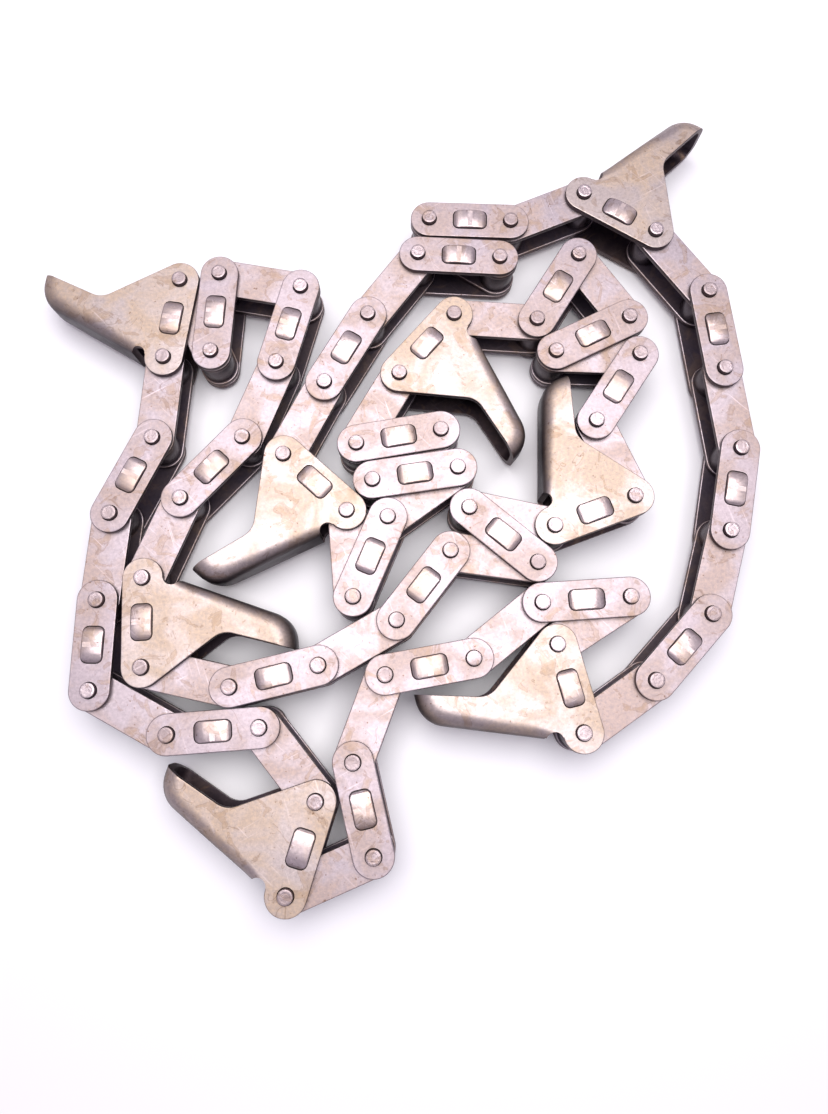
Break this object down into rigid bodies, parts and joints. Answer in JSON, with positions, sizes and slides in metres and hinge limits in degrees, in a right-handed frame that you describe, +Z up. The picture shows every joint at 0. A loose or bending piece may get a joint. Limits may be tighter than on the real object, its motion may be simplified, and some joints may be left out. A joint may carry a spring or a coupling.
{
  "type": "heap of steel chain",
  "caption": "Endless steel roller chain with folded hollow finger lugs, dropped in a loose heap one layer deep, lying on its side in winding folds.",
  "frame": {"origin": "on the floor, under the middle of the heap's box", "axes": "+Z up, +X right and +Y away seen from above, with the top of the picture towards +Y"},
  "size_m": [0.3549, 0.3948, 0.0296],
  "materials": {
    "lug_steel": "worn bare steel with tan oil stains and fine scratches",
    "outer_plate_steel": "worn bare steel with tan oil stains and fine scratches",
    "inner_plate_steel": "worn bare steel, dull grey with brown film"
  },
  "bodies": {
    "root": {"folded_link_10": "outer_plate_steel", "folded_link_17": "outer_plate_steel", "folded_link_20": "outer_plate_steel", "folded_link_24": "outer_plate_steel", "inner_link_01": "inner_plate_steel", "inner_link_02": "inner_plate_steel", "inner_link_03": "inner_plate_steel", "inner_link_04": "inner_plate_steel", "inner_link_05": "inner_plate_steel", "inner_link_06": "inner_plate_steel", "inner_link_07": "inner_plate_steel", "inner_link_08": "inner_plate_steel", "inner_link_09": "inner_plate_steel", "inner_link_10": "inner_plate_steel", "inner_link_11": "inner_plate_steel", "inner_link_12": "inner_plate_steel", "inner_link_13": "inner_plate_steel", "inner_link_14": "inner_plate_steel", "inner_link_15": "inner_plate_steel", "inner_link_16": "inner_plate_steel", "inner_link_17": "inner_plate_steel", "inner_link_18": "inner_plate_steel", "inner_link_19": "inner_plate_steel", "inner_link_20": "inner_plate_steel", "inner_link_21": "inner_plate_steel", "inner_link_22": "inner_plate_steel", "inner_link_23": "inner_plate_steel", "inner_link_24": "inner_plate_steel", "inner_link_25": "inner_plate_steel", "inner_link_26": "inner_plate_steel", "inner_link_27": "inner_plate_steel", "inner_link_28": "inner_plate_steel", "lug_link_1": "lug_steel", "lug_link_2": "lug_steel", "lug_link_3": "lug_steel", "lug_link_4": "lug_steel", "lug_link_5": "lug_steel", "lug_link_6": "lug_steel", "lug_link_7": "lug_steel", "lug_link_8": "lug_steel", "outer_link_01": "outer_plate_steel", "outer_link_02": "outer_plate_steel", "outer_link_03": "outer_plate_steel", "outer_link_04": "outer_plate_steel", "outer_link_05": "outer_plate_steel", "outer_link_06": "outer_plate_steel", "outer_link_07": "outer_plate_steel", "outer_link_08": "outer_plate_steel", "outer_link_09": "outer_plate_steel", "outer_link_11": "outer_plate_steel", "outer_link_12": "outer_plate_steel", "outer_link_13": "outer_plate_steel", "outer_link_14": "outer_plate_steel", "outer_link_15": "outer_plate_steel", "outer_link_16": "outer_plate_steel", "outer_link_18": "outer_plate_steel", "outer_link_19": "outer_plate_steel", "outer_link_21": "outer_plate_steel", "outer_link_22": "outer_plate_steel", "outer_link_23": "outer_plate_steel"}
  },
  "joints": []
}
